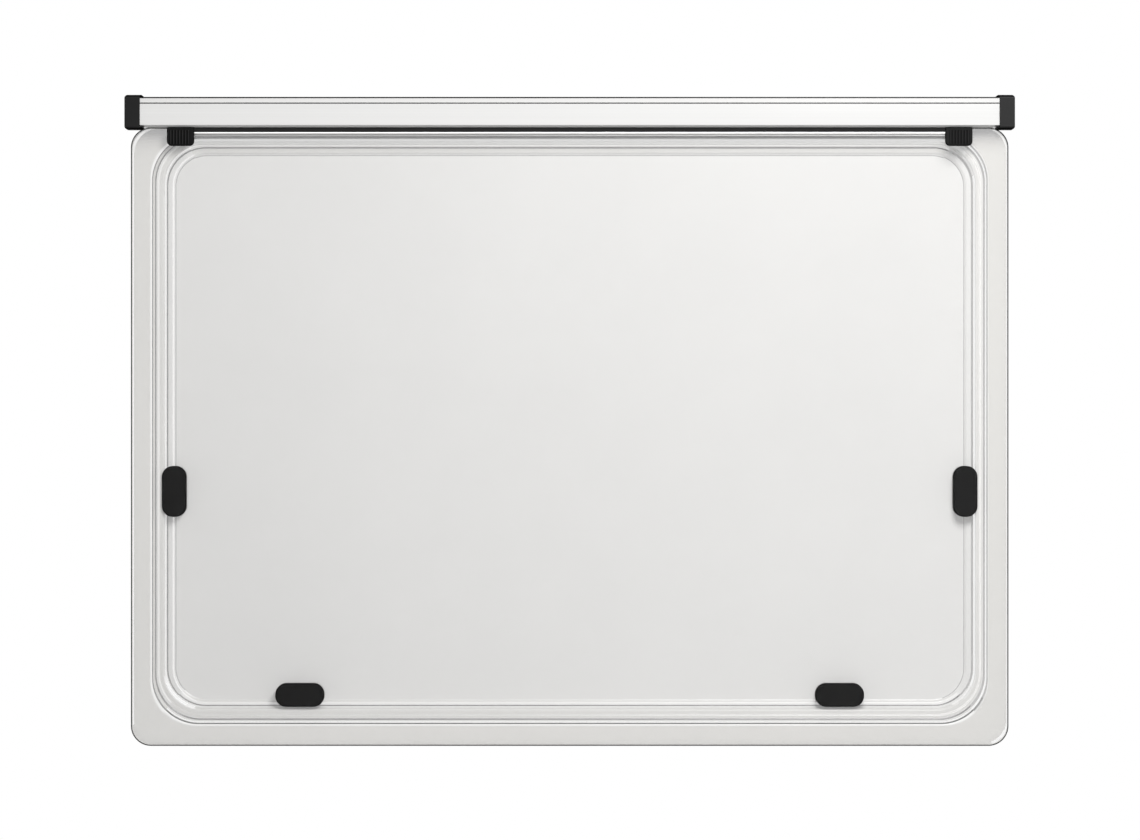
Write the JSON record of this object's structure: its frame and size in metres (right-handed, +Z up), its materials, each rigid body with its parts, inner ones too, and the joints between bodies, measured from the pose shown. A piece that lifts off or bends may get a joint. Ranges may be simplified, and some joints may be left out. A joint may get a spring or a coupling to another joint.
{
  "type": "caravan window, top-hung double acrylic pane on a hinge rail",
  "caption": "Top-hung caravan window pane of double formed acrylic on an aluminium hinge rail with black end caps, clips, seal and catches.",
  "frame": {"origin": "the middle of the wall face of the hinge rail, half way along it and half way up", "axes": "+Y into the caravan wall, +X along the rail, +Z up"},
  "size_m": [0.6862, 0.0418, 0.502],
  "materials": {
    "rail_aluminium": "satin anodised, fine lines along the length",
    "profile_aluminium": "satin anodised",
    "black_plastic": "matt moulded, fine grain",
    "seal_rubber": "matt",
    "formed_acrylic": "formed acrylic with a light grey haze",
    "gasket_rubber": "matt soft rubber",
    "outer_acrylic": "clear cast acrylic, polished edges"
  },
  "bodies": {
    "root": {"hinge_rail": "rail_aluminium", "rail_cover": "rail_aluminium", "end_cap_left": "black_plastic", "end_cap_right": "black_plastic", "pane_profile": "profile_aluminium", "hinge_seal": "seal_rubber", "hinge_clip_left": "black_plastic", "hinge_clip_right": "black_plastic", "outer_pane": "outer_acrylic", "inner_pane": "formed_acrylic", "catch_block_left": "black_plastic", "catch_block_right": "black_plastic", "catch_block_low_left": "black_plastic", "catch_block_low_right": "black_plastic", "keeper_gasket_left": "gasket_rubber", "keeper_gasket_right": "gasket_rubber", "keeper_gasket_low_left": "gasket_rubber", "keeper_gasket_low_right": "gasket_rubber", "keeper_left": "black_plastic", "keeper_right": "black_plastic", "keeper_low_left": "black_plastic", "keeper_low_right": "black_plastic"}
  },
  "joints": []
}
